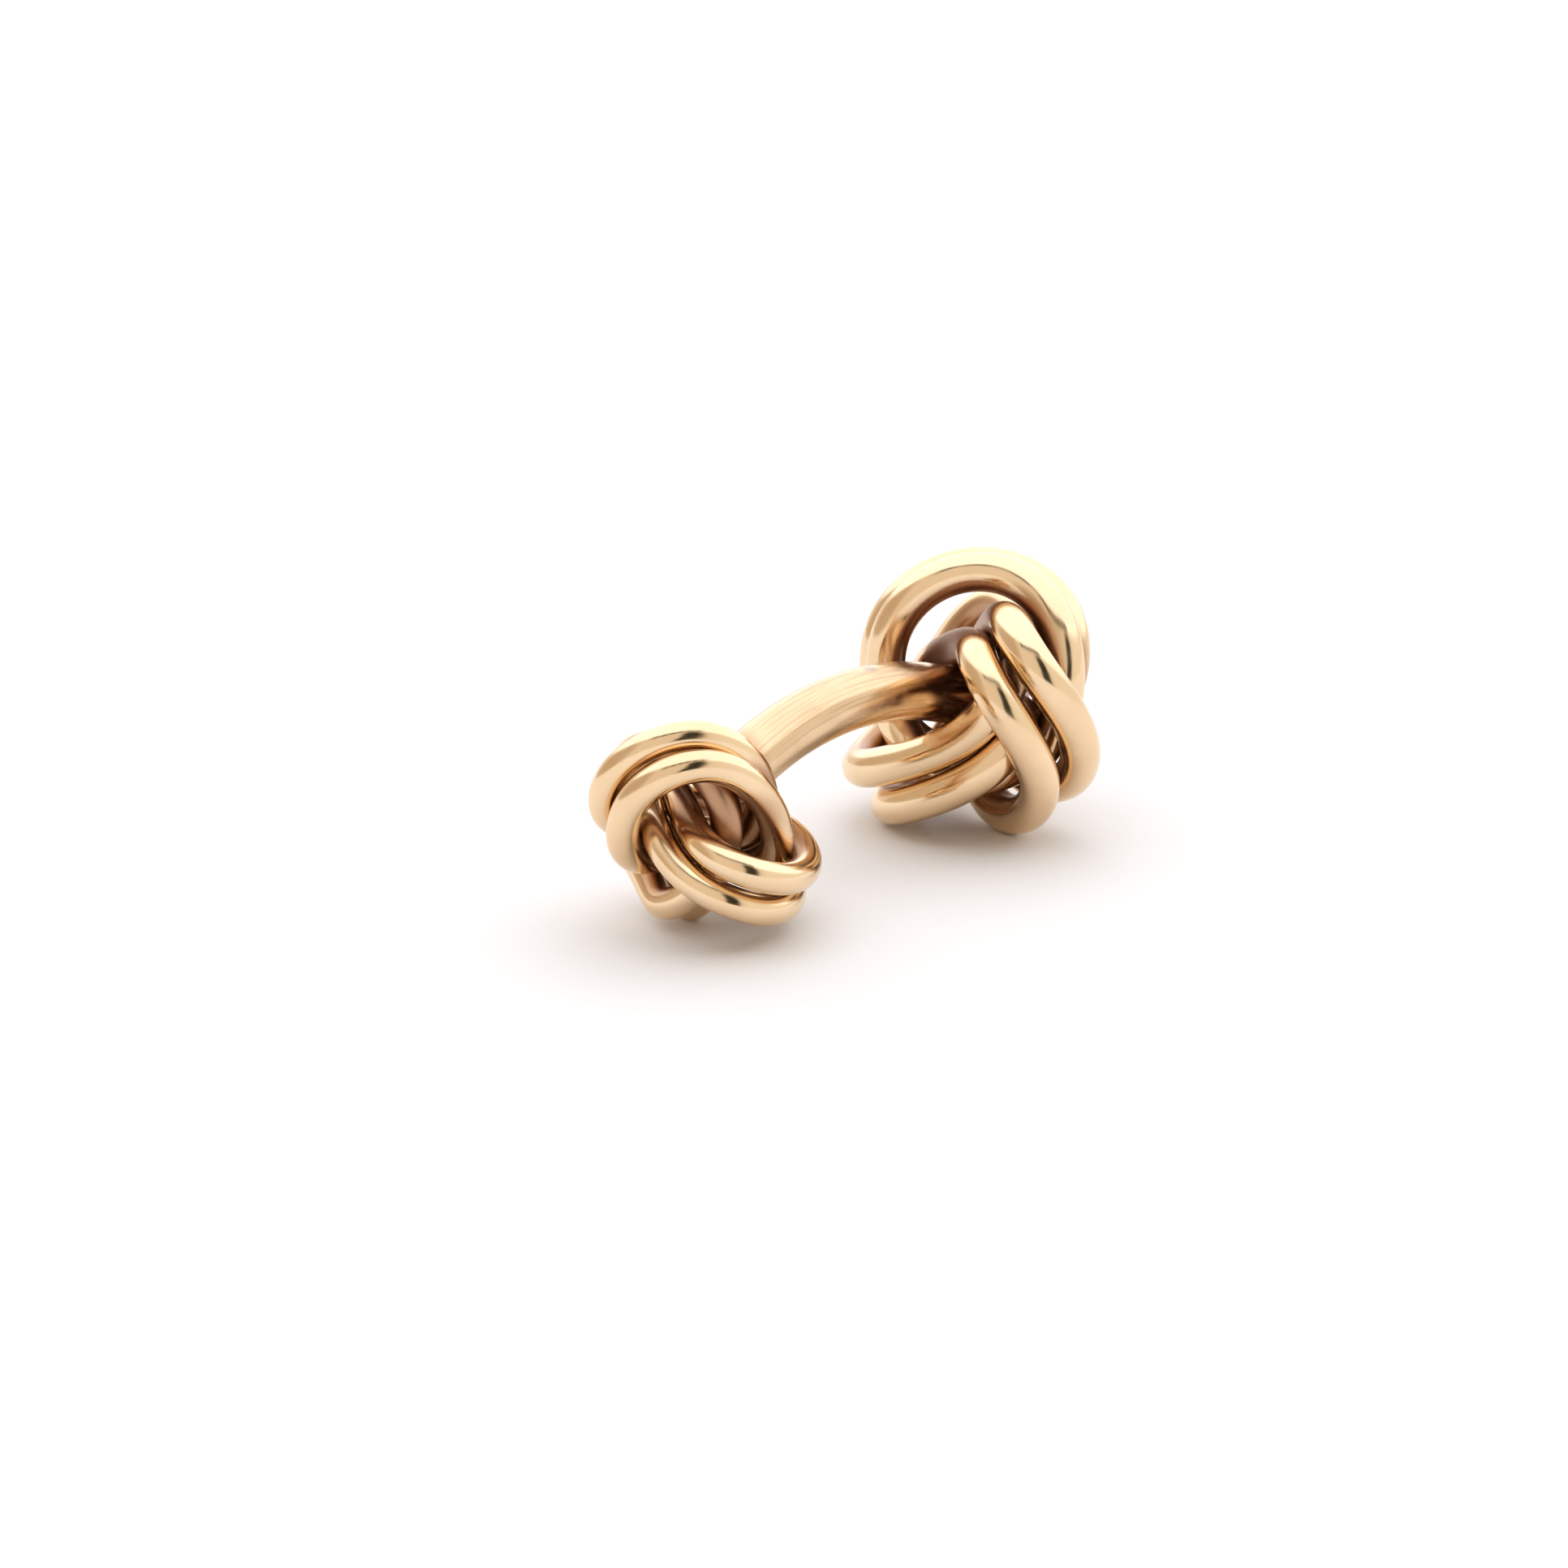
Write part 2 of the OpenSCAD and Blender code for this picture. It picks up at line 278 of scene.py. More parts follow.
class NodeSheet:
    """A node tree with short calls for adding and joining nodes."""

    # A Mix node has sockets of the same name for each kind of value, so its colour sockets go by number.
    MIX_FACTOR = 0
    MIX_FIRST = 6
    MIX_SECOND = 7
    MIX_RESULT = 2

    def __init__(self, tree: bpy.types.NodeTree) -> None:
        """Starts from an empty tree."""
        tree.nodes.clear()
        self.tree = tree

    def add(self, kind: str, settings: dict[str, str] | None = None, **inputs: Input) -> bpy.types.Node:
        """Adds one node.

        Args:
            kind: the node's type name, without the word ShaderNode.
            settings: its own properties by name.
            inputs: a value or an output for each input, by the input's name with _ for a space.

        Returns:
            The node.
        """
        node = self.tree.nodes.new("ShaderNode" + kind)
        for name, value in (settings or {}).items():
            setattr(node, name, value)
        for name, value in inputs.items():
            self.feed(node.inputs[name.replace("_", " ")], value)
        return node

    def feed(self, socket: Socket, value: Input) -> None:
        """Joins an output to an input, or sets the input to a constant.

        Args:
            socket: the input.
            value: the output or the constant.
        """
        if isinstance(value, bpy.types.NodeSocket):
            self.tree.links.new(value, socket)
        else:
            socket.default_value = value

    def value(self, way: Join, first: Input, second: Input) -> Socket:
        """Makes one value from two.

        Args:
            way: how they are joined.
            first: the first output or number.
            second: the second output or number.

        Returns:
            The result's output.
        """
        node = self.add("Math", {"operation": way.value})
        self.feed(node.inputs[0], first)
        self.feed(node.inputs[1], second)
        return node.outputs["Value"]

    def vector(self, way: VectorJoin, *parts: Input) -> bpy.types.Node:
        """Adds one calculation with directions or places.

        Args:
            way: how they are joined.
            parts: the outputs or constants that it joins.

        Returns:
            The node, whose result is its Vector or Value output.
        """
        node = self.add("VectorMath", {"operation": way.value})
        for socket, part in zip(node.inputs, parts):
            self.feed(socket, part)
        return node

    def dot(self, first: Input, second: Input) -> Socket:
        """The dot product of two outputs or directions."""
        return self.vector(VectorJoin.DOT, first, second).outputs["Value"]

    def distance(self, place: Socket, point: Vector | Point) -> Socket:
        """The distance between a place and a fixed point."""
        return self.vector(VectorJoin.DISTANCE, place, point).outputs["Value"]

    def toward(self, point: Vector, place: Socket) -> Socket:
        """The direction from a place to a fixed point."""
        apart = self.vector(VectorJoin.DIFFERENCE, point, place).outputs["Vector"]
        return self.vector(VectorJoin.UNIT, apart).outputs["Vector"]

    def noise(self, place: Socket, size: float, detail: Detail) -> Socket:
        """A noise pattern whose patches are about as large as the size, in metres."""
        return self.add("TexNoise", Vector=place, Scale=1 / size, Detail=detail.value).outputs["Fac"]

    def ramp(self, driver: Socket, change: Ramp) -> Socket:
        """A value that follows the driver's value as the change says."""
        return self.add("MapRange", {"interpolation_type": "SMOOTHSTEP"}, Value=driver, From_Min=change.low,
                        From_Max=change.high, To_Min=change.start, To_Max=change.end).outputs["Result"]

    def mix(self, share: Socket, first: Input, second: Input) -> Socket:
        """Mixes two colours.

        Args:
            share: the output that says how much of the second colour shows.
            first: the first colour or its output.
            second: the second colour or its output.

        Returns:
            The mixed colour's output.
        """
        node = self.add("Mix", {"data_type": "RGBA"})
        self.feed(node.inputs[self.MIX_FACTOR], share)
        for number, colour in ((self.MIX_FIRST, first), (self.MIX_SECOND, second)):
            self.feed(node.inputs[number], (*colour, 1.0) if isinstance(colour, tuple) else colour)
        return node.outputs[self.MIX_RESULT]


@dataclass(frozen=True, kw_only=True)
class PolishedGold:
    """Polished yellow gold, with the ripples and fine lines that polishing a wire leaves. Sizes in metres.

    Attributes:
        name: the material's name.
        colour: the gold's colour.
        deep_colour: the deeper colour of its patches.
        tone_size: the size of those patches.
        tone: how the pattern turns into the share of the deeper colour.
        spot_size: the size of the softer spots.
        spot_roughness: how their pattern turns into roughness.
        ripple_size: the size of the ripples.
        ripple_depth: their depth.
        line_width: the width of the fine lines along the wire.
        line_length: their length.
        line_depth: their depth.
        line_roughness: how their pattern adds to the roughness.
    """

    name: str
    colour: Colour = (0.88, 0.67, 0.43)
    deep_colour: Colour = (0.84, 0.61, 0.38)
    tone_size: float = 2.7 * MM
    tone: Ramp = Ramp(0.35, 0.7)
    spot_size: float = 0.9 * MM
    spot_roughness: Ramp = Ramp(0.4, 0.75, 0.14, 0.21)
    ripple_size: float = 1.3 * MM
    ripple_depth: float = 0.010 * MM
    line_width: float = 0.09 * MM
    line_length: float = 2.2 * MM
    line_depth: float = 0.0009 * MM
    line_roughness: Ramp = Ramp(0.45, 0.75, 0.0, 0.05)

    def material(self) -> bpy.types.Material:
        """Builds the finish as a node material.

        Returns:
            The material.
        """
        gold = blank_material(self.name)
        sheet = NodeSheet(gold.node_tree)
        place = sheet.add("TexCoord").outputs["Object"]
        lines = self.lines(sheet)
        tone = sheet.ramp(sheet.noise(place, self.tone_size, Detail.SOFT), self.tone)
        spots = sheet.ramp(sheet.noise(place, self.spot_size, Detail.FINE), self.spot_roughness)
        new_colour = sheet.mix(tone, self.colour, self.deep_colour)
        new_roughness = sheet.value(Join.ADDED, spots, sheet.ramp(lines, self.line_roughness))
        colour, roughness = self.aged(sheet, place, lines, new_colour, new_roughness)
        surface = sheet.add("BsdfPrincipled", Base_Color=colour, Metallic=1.0, Roughness=roughness,
                            Normal=self.relief(sheet, place, lines))
        sheet.add("OutputMaterial", Surface=surface.outputs["BSDF"])
        return gold

    def lines(self, sheet: NodeSheet) -> Socket:
        """Draws the fine lines along the wire, from its grain coordinates.

        Args:
            sheet: the material's nodes.

        Returns:
            The lines' output.
        """
        grain = sheet.add("Attribute", {"attribute_name": GRAIN}).outputs["Vector"]
        drawn_out = (1.0, 1.0, self.line_width / self.line_length)
        place = sheet.vector(VectorJoin.MULTIPLIED, grain, drawn_out).outputs["Vector"]
        return sheet.noise(place, self.line_width, Detail.SOFT)

    def aged(self, sheet: NodeSheet, place: Socket, lines: Socket, colour: Socket,
             roughness: Socket) -> tuple[Socket, Socket]:
        """The colour and roughness after use and age, which leave no mark on plain polished gold."""
        return colour, roughness

    def relief(self, sheet: NodeSheet, place: Socket, lines: Socket) -> Socket:
        """Adds the ripples and the lines to the surface.

        Args:
            sheet: the material's nodes.
            place: the output with the object coordinates.
            lines: the output with the fine lines.

        Returns:
            The output of the bent normal.
        """
        ripples = sheet.noise(place, self.ripple_size, Detail.SMOOTH)
        waved = sheet.add("Bump", Height=ripples, Strength=1.0, Distance=self.ripple_depth)
        lined = sheet.add("Bump", Height=lines, Strength=1.0, Distance=self.line_depth,
                          Normal=waved.outputs["Normal"])
        return lined.outputs["Normal"]


@dataclass(frozen=True, kw_only=True)
class KnotGold(PolishedGold):
    """The loops' gold, brown and rougher towards the knot's heart and in its hollow; the brown is painted
    shade for the inside of the knot.

    Attributes:
        heart: the knot's middle.
        hollow: the middle of its hollow, where shade is painted.
        hollow_radius: the radius up to which the painted shade and roughness in the hollow are at their most.
        hollow_edge: the distance over which it fades.
        painted_shade_colour: the brown painted shade of the gold inside the knot.
        dull_roughness: the roughness of the gold there.
        shade_and_dull_from: the cosine of the angle to the heart at which a side starts to get painted shade
            and roughness.
        shade_and_dull_to: the cosine at which both are at their most.
        shade_and_dull_most: how strong the painted shade and roughness get, from 0 to 1.
    """

    heart: Vector
    hollow: Vector
    hollow_radius: float
    hollow_edge: float = 0.6 * MM
    painted_shade_colour: Colour = (0.46, 0.26, 0.15)
    dull_roughness: float = 0.36
    shade_and_dull_from: float = -0.15
    shade_and_dull_to: float = 0.45
    shade_and_dull_most: float = 0.94

    def aged(self, sheet: NodeSheet, place: Socket, lines: Socket, colour: Socket,
             roughness: Socket) -> tuple[Socket, Socket]:
        """Paints shade in brown on the wires' sides that face the knot's heart and on all that lies in its
        hollow, and makes them rougher.

        Args:
            sheet: the material's nodes.
            place: the output with the object coordinates.
            lines: the output with the fine lines, which is not used here.
            colour: the output with the new gold's colour.
            roughness: the output with its roughness.

        Returns:
            The outputs of the colour and the roughness.
        """
        # Painted shade: a brown mixed in on the sides that face the knot's heart and in its hollow, with more
        # roughness there.
        faced = sheet.dot(sheet.toward(self.heart, place), sheet.add("TexCoord").outputs["Normal"])
        facing = sheet.ramp(faced, Ramp(self.shade_and_dull_from, self.shade_and_dull_to, 0.0, self.shade_and_dull_most))
        hollow_end = self.hollow_radius + self.hollow_edge
        inside = sheet.ramp(sheet.distance(place, self.hollow),
                            Ramp(self.hollow_radius, hollow_end, self.shade_and_dull_most, 0.0))
        shade_and_dullness = sheet.value(Join.LARGER, inside, facing)
        dulled = sheet.value(Join.MULTIPLIED, shade_and_dullness, self.dull_roughness)
        return sheet.mix(shade_and_dullness, colour, self.painted_shade_colour), sheet.value(Join.LARGER, roughness, dulled)


@dataclass(frozen=True, kw_only=True)
class WornShadedGold(PolishedGold):
    """The bar's gold, with deeper lines that a cuff rubs along it, painted shade and more roughness on its
    ends inside the knots, and one ragged grey stain.

    Attributes:
        rubbed_colour: the colour of the rubbed lines.
        rubbed: how the lines' pattern turns into the share of that colour.
        end_shade_colour: the brown painted shade on the ends inside the knots.
        end_roughness: their roughness.
        large_end: how the painted shade and roughness on the end in the large knot grow over the distance
            along +X.
        small_end: how those on the end in the small knot grow over the distance along -X.
        stain_colour: the stain's colour.
        stain_at: its middle.
        stain_raggedness: how far its edge wanders.
        stain_grain: the size of the bites in its edge.
        stain_edge: how its strength falls over the distance from its middle.
    """

    name: str = "worn_shaded_bar_gold"
    colour: Colour = (0.81, 0.60, 0.38)
    deep_colour: Colour = (0.76, 0.54, 0.33)
    spot_roughness: Ramp = Ramp(0.4, 0.75, 0.17, 0.28)
    line_width: float = 0.16 * MM
    line_length: float = 4.0 * MM
    line_depth: float = 0.002 * MM
    line_roughness: Ramp = Ramp(0.45, 0.75, 0.0, 0.12)
    rubbed_colour: Colour = (0.62, 0.42, 0.25)
    rubbed: Ramp = Ramp(0.46, 0.66, 0.0, 0.75)
    end_shade_colour: Colour = (0.50, 0.29, 0.16)
    end_roughness: float = 0.32
    large_end: Ramp = Ramp(4.4 * MM, 6.6 * MM, 0.0, 0.85)
    small_end: Ramp = Ramp(6.2 * MM, 7.4 * MM, 0.0, 0.95)
    stain_colour: Colour = (0.40, 0.31, 0.29)
    stain_at: Point = (0.9 * MM, 0.2 * MM, 8.5 * MM)
    stain_raggedness: float = 0.65 * MM
    stain_grain: float = 0.35 * MM
    stain_edge: Ramp = Ramp(0.39 * MM, 0.845 * MM, 0.8, 0.0)

    def aged(self, sheet: NodeSheet, place: Socket, lines: Socket, colour: Socket,
             roughness: Socket) -> tuple[Socket, Socket]:
        """Darkens the rubbed lines, paints shade on both ends inside the knots and makes them rougher, and
        adds the stain.

        Args:
            sheet: the material's nodes.
            place: the output with the object coordinates.
            lines: the output with the fine lines.
            colour: the output with the new gold's colour.
            roughness: the output with its roughness.

        Returns:
            The outputs of the colour and the roughness.
        """
        rubbed = sheet.mix(sheet.ramp(lines, self.rubbed), colour, self.rubbed_colour)
        # The ends inside the knots get painted shade, a brown that stands in for the shade in the knots, and
        # more roughness.
        at_large = sheet.ramp(sheet.dot(place, BAR_WAY), self.large_end)
        at_small = sheet.ramp(sheet.dot(place, -BAR_WAY), self.small_end)
        at_ends = sheet.value(Join.LARGER, at_large, at_small)
        dulled = sheet.mix(at_ends, rubbed, self.end_shade_colour)
        dulled_roughness = sheet.value(Join.MULTIPLIED, at_ends, self.end_roughness)
        grains = sheet.noise(place, self.stain_grain, Detail.RAGGED)
        ragged = sheet.value(Join.MULTIPLIED, grains, self.stain_raggedness)
        reach = sheet.value(Join.ADDED, ragged, sheet.distance(place, self.stain_at))
        stained = sheet.mix(sheet.ramp(reach, self.stain_edge), dulled, self.stain_colour)
        return stained, sheet.value(Join.LARGER, roughness, dulled_roughness)


@dataclass(frozen=True)
class WhitePaper:
    """The matt white paper of the sheet."""

    name: str = "white_paper"
    colour: Colour = (0.89, 0.885, 0.89)
    roughness: float = 0.8
    gloss: float = 0.1

    def material(self) -> bpy.types.Material:
        """Builds the finish as a node material.

        Returns:
            The material.
        """
        paper = blank_material(self.name)
        sheet = NodeSheet(paper.node_tree)
        surface = sheet.add("BsdfPrincipled", Base_Color=(*self.colour, 1.0), Roughness=self.roughness,
                            Specular_IOR_Level=self.gloss)
        sheet.add("OutputMaterial", Surface=surface.outputs["BSDF"])
        return paper


@dataclass(frozen=True)
class Arch:
    """The bar's middle line, an arc in the cufflink's long plane, and how it lies. Millimetres and degrees.

    An angle on the arch counts from its top and is positive towards the small knot.

    Attributes:
        radius: the arc's radius.
        large_seat: where the large knot's middle sits, as an angle on the arch.
        small_seat: where the small knot's middle sits.
        rest_roll: how far the cufflink rolls sideways to lie on both knots.
        rest_pitch: how far it tips lengthwise.
        centre: the arc's centre in the part's frame.
    """

    radius: float = 18.0
    large_seat: float = -26.4
    small_seat: float = 34.3
    rest_roll: float = -6.57
    rest_pitch: float = -0.18
    centre: Point = (0.091, -1.631, -10.459)

    def section(self, angle: float, way: Way) -> Matrix:
        """Places a section square to the arch.

        Args:
            angle: its angle on the arch.
            way: the way that it faces.

        Returns:
            Its placement in the arch's own frame.
        """
        upward = Vector((-degrees_sin(angle), 0.0, degrees_cos(angle)))
        onward = Vector((degrees_cos(angle), 0.0, degrees_sin(angle)))
        return station(self.radius * upward, Vector((0.0, way.value, 0.0)), upward, way.value * onward)

    def rest(self) -> Matrix:
        """The matrix from the arch's own frame, in millimetres, to its place at rest, in metres."""
        lying = turned(self.rest_pitch, "Y") @ turned(self.rest_roll, "X")
        return Matrix.Scale(MM, 4) @ Matrix.Translation(self.centre) @ lying


@dataclass(frozen=True)
class PairShape:
    """The sizes of one pair of loops, or how far a pair departs from them. Millimetres and degrees.

    Attributes:
        half_length: half the length of the pair's oval.
        half_width: half its width.
        offset: how far its centre lies out from the knot's axis.
        shift: how far its centre lies round the axis.
        lift: how far its centre lies up the axis.
        lean: how steeply its plane climbs round the axis.
        turn: the angle in that plane from straight out to the oval's long way.
        tilt: how far the two loops are rolled about their middle line.
        long_egg: how far both ends of the oval are pushed the long way.
        long_skew: how far its corners are pushed the long way.
        wide_egg: how far both ends of the oval are pushed the wide way.
        wide_skew: how far its corners are pushed the wide way.
    """

    half_length: float
    half_width: float
    offset: float
    shift: float
    lift: float
    lean: float
    turn: float
    tilt: float
    long_egg: float
    long_skew: float
    wide_egg: float
    wide_skew: float

    def __add__(self, other: "PairShape") -> "PairShape":
        """The sizes with what a pair departs from them."""
        return PairShape(*(own + more for own, more in zip(astuple(self), astuple(other))))

    def outline(self, t: float) -> tuple[float, float]:
        """Draws the pair's oval, egg-shaped and skewed a little.

        Args:
            t: the angle round the oval.

        Returns:
            How far out its point lies, along the oval and across it.
        """
        twice_cos, twice_sin = degrees_cos(2 * t), degrees_sin(2 * t)
        along = self.half_length * degrees_cos(t) + self.long_egg * twice_cos + self.long_skew * twice_sin
        wide = self.half_width * degrees_sin(t) + self.wide_egg * twice_cos + self.wide_skew * twice_sin
        return along, wide


@dataclass(frozen=True)
class PairFrame:
    """The centre of one pair, and the directions of its long way, its wide way and out of its plane."""

    centre: Vector
    long_way: Vector
    wide_way: Vector
    facing: Vector


@dataclass(frozen=True)
class Swell:
    """A change that comes and goes round a loop: how much, its phase in degrees, and how many times."""

    most: float
    phase: float
    times: int

    def at(self, t: float) -> float:
        """Its amount at the angle t."""
        return self.most * degrees_cos(self.times * t - self.phase)


@dataclass(frozen=True)
class WireKnot:
    """A knot of three linked pairs of loops, seated on one end of the arch. Millimetres and degrees.

    Attributes:
        name: the word that the pieces' names start with.
        arch: the arch that it sits on.
        seat: its place there, as an angle on the arch.
        roll: its turn about its own axis.
        cant_x: its tilt on the seat about the seat's X.
        cant_y: its tilt about the seat's Y.
        wire_d: the wire's diameter.
        pitch: the mean distance between the middle lines of a pair's loops.
        spread: how that distance changes round a loop.
        second_spread: the finer part of that change.
        bend: how the pair's middle line leaves its plane.
        wave: the finer part of that bend.
        swing: how the pair's tilt changes round a loop.
        ripple: the finer part of that change.
        mean: the sizes of the knot's mean pair.
        own: how each pair departs from them.
        hollow: the middle of the hollow where shade is painted, in the part's frame.
        hollow_radius: the hollow's radius.
        stations: the number of sections round a loop.
        sides: the number of sides of a section.
        heading_step: the step round a loop that its direction is measured over.
    """

    name: str
    arch: Arch
    seat: float
    roll: float
    cant_x: float
    cant_y: float
    wire_d: float
    pitch: float
    spread: Swell
    second_spread: Swell
    bend: Swell
    wave: Swell
    swing: Swell
    ripple: Swell
    mean: PairShape
    own: tuple[PairShape, ...]
    hollow: Point
    hollow_radius: float
    stations: int = 216
    sides: int = 32
    heading_step: float = 0.5

    def pair_frame(self, pair: int) -> PairFrame:
        """Works out where one pair lies and which way it faces.

        Args:
            pair: the pair's number, from 0.

        Returns:
            The pair's centre and directions, in the knot's own frame.
        """
        shape = self.mean + self.own[pair]
        angle = -360 / len(self.own) * pair
        outward = Vector((degrees_cos(angle), degrees_sin(angle), 0.0))
        around = Vector((-degrees_sin(angle), degrees_cos(angle), 0.0))
        uphill = degrees_cos(shape.lean) * around + degrees_sin(shape.lean) * UP
        facing = outward.cross(uphill)
        long_way = degrees_cos(shape.turn) * outward + degrees_sin(shape.turn) * uphill
        centre = shape.offset * outward + shape.shift * around + shape.lift * UP
        return PairFrame(centre, long_way, facing.cross(long_way), facing)

    def pair_point(self, pair: int, t: float) -> Vector:
        """Follows the middle line between the two loops of a pair, which is a bent oval.

        Args:
            pair: the pair's number, from 0.
            t: the angle round the oval.

        Returns:
            The line's point, in the knot's own frame.
        """
        along, wide = (self.mean + self.own[pair]).outline(t)
        place = self.pair_frame(pair)
        off = self.bend.at(t) + self.wave.at(t)
        return place.centre + along * place.long_way + wide * place.wide_way + off * place.facing

    def pair_side(self, pair: int, t: float) -> Vector:
        """Works out on which side of the pair's middle line its first loop runs.

        Args:
            pair: the pair's number, from 0.
            t: the angle round the oval.

        Returns:
            The direction to the first loop, in the knot's own frame.
        """
        half = self.heading_step / 2
        heading = (self.pair_point(pair, t + half) - self.pair_point(pair, t - half)).normalized()
        level = across(self.pair_frame(pair).facing, heading)
        tilt = (self.mean + self.own[pair]).tilt + self.swing.at(t) + self.ripple.at(t)
        return degrees_cos(tilt) * level + degrees_sin(tilt) * heading.cross(level)

    def pair_gap(self, t: float) -> float:
        """The distance between the middle lines of a pair's loops at the angle t."""
        return self.pitch + self.spread.at(t) + self.second_spread.at(t)

    def wire_point(self, pair: int, side: Side, t: float) -> Vector:
        """The middle line of one loop at the angle t, in the knot's own frame."""
        return self.pair_point(pair, t) + side.value * self.pair_gap(t) / 2 * self.pair_side(pair, t)

    def section(self, pair: int, side: Side, t: float) -> Matrix:
        """Places a section square to one loop.

        Args:
            pair: the pair's number, from 0.
            side: which loop of the pair.
            t: the angle round the loop.

        Returns:
            Its placement in the knot's own frame.
        """
        ahead = self.wire_point(pair, side, t + self.heading_step)
        behind = self.wire_point(pair, side, t - self.heading_step)
        heading = (ahead - behind).normalized()
        first = across(self.pair_side(pair, t), heading)
        return station(self.wire_point(pair, side, t), first, heading.cross(first), heading)

    def placement(self) -> Matrix:
        """The matrix from the knot's own frame, in millimetres, to its seat on the arch, in metres."""
        canted = turned(self.cant_y, "Y") @ (turned(self.cant_x, "X") @ turned(self.roll, "Z"))
        return self.arch.rest() @ self.arch.section(self.seat, Way.TO_SMALL_KNOT) @ canted

    def gold(self) -> KnotGold:
        """The loops' finish, with painted shade and roughness around this knot's own heart and hollow."""
        return KnotGold(name=f"{self.name}_loop_gold", heart=self.placement().translation,
                        hollow=Vector(self.hollow) * MM, hollow_radius=self.hollow_radius * MM)

    def build_loop(self, pair: int, side: Side, finish: bpy.types.Material) -> bpy.types.Object:
        """Builds and dresses one closed loop of wire.

        Args:
            pair: the pair's number, from 0.
            side: which loop of the pair.
            finish: the loop's material.

        Returns:
            The loop's object.
        """
        label = f"{pair + 1}{side.letter}"
        place = self.placement()
        angles = [360 * count / self.stations for count in range(self.stations)]
        sections = [place @ self.section(pair, side, angle) for angle in angles]
        shape = bmesh.new()
        sweep(shape, sections, self.wire_d / 2, self.sides, closed=True)
        loop = finished_object(f"{self.name}_wire_{label}", shape)
        settle(loop, finish, f"{self.name}_loop_{label}")
        return loop

    def build(self) -> list[bpy.types.Object]:
        """Builds the knot's loops, all in one finish."""
        finish = self.gold().material()
        return [self.build_loop(pair, side, finish) for pair in range(len(self.own)) for side in Side]


@dataclass(frozen=True)
class CuffBar:
    """The arched bar between the knots, with a rounded nose on each end. Millimetres and degrees.

    Attributes:
        arch: the arch that it follows.
        diameter: its thickness between the noses.
        large_end: where the nose in the large knot starts, as an angle on the arch.
        small_end: where the nose in the small knot starts.
        nose_length: the length of a nose.
        nose_tip: the share of the thickness that is left at its tip.
        nose_stations: the number of sections in a nose.
        stations: the number of steps between the noses.
        sides: the number of sides of a section.
    """

    arch: Arch
    diameter: float = 2.55
    large_end: float = -21.0
    small_end: float = 24.5
    nose_length: float = 0.9
    nose_tip: float = 0.03
    nose_stations: int = 14
    stations: int = 120
    sides: int = 48

    def build(self) -> bpy.types.Object:
        """Builds and dresses the bar.

        Returns:
            The bar's object.
        """
        shape = bmesh.new()
        sweep(shape, self.sections(), self.diameter / 2, self.sides, closed=False)
        bar = finished_object("arched_cuff_bar", shape)
        settle(bar, WornShadedGold().material(), "cuff_bar")
        return bar

    def nose(self) -> list[tuple[float, float]]:
        """Rounds off an end of the bar, from its tip inwards.

        Returns:
            For each section, how far out it lies as a share of the nose's length, and its share of the bar's
            thickness.
        """
        turns = [1 - count / self.nose_stations for count in range(self.nose_stations)]
        outs = [math.sin(math.pi / 2 * turn) for turn in turns]
        return [(out, max(self.nose_tip, math.sqrt(1 - out * out))) for out in outs]

    def sections(self) -> list[Matrix]:
        """Places the bar's sections, from the tip of the nose in the small knot to the other one.

        Returns:
            The placements at rest, in metres, each scaled by its share of the bar's thickness.
        """
        nose = self.nose()
        nose_angle = math.degrees(self.nose_length / self.arch.radius)
        span = self.small_end - self.large_end
        shares = [(self.small_end + nose_angle * out, share) for out, share in nose]
        shares += [(self.small_end - span * count / self.stations, 1.0) for count in range(self.stations + 1)]
        shares += [(self.large_end - nose_angle * out, share) for out, share in reversed(nose)]
        rest = self.arch.rest()
        return [rest @ self.arch.section(angle, Way.TO_LARGE_KNOT) @ Matrix.Diagonal((share, share, 1.0, 1.0))
                for angle, share in shares]


@dataclass(frozen=True)
class SkyPatch:
    """A round patch of the light tent, brighter or darker than the rest. Degrees.

    Attributes:
        turn: its angle to the right of the camera's side, round the cufflink.
        height: its angle above the sheet.
        inner: the radius up to which it is whole.
        outer: the radius at which it has faded away.
        colour: its light.
    """

    turn: float
    height: float
    inner: float
    outer: float
    colour: Colour

    def direction(self, camera_azimuth: float) -> Vector:
        """The way to the patch, as a unit vector."""
        return way_to(camera_azimuth + self.turn, self.height)

    def fade(self) -> Ramp:
        """How the patch fades, over the cosine of the angle from its middle."""
        return Ramp(degrees_cos(self.outer), degrees_cos(self.inner))


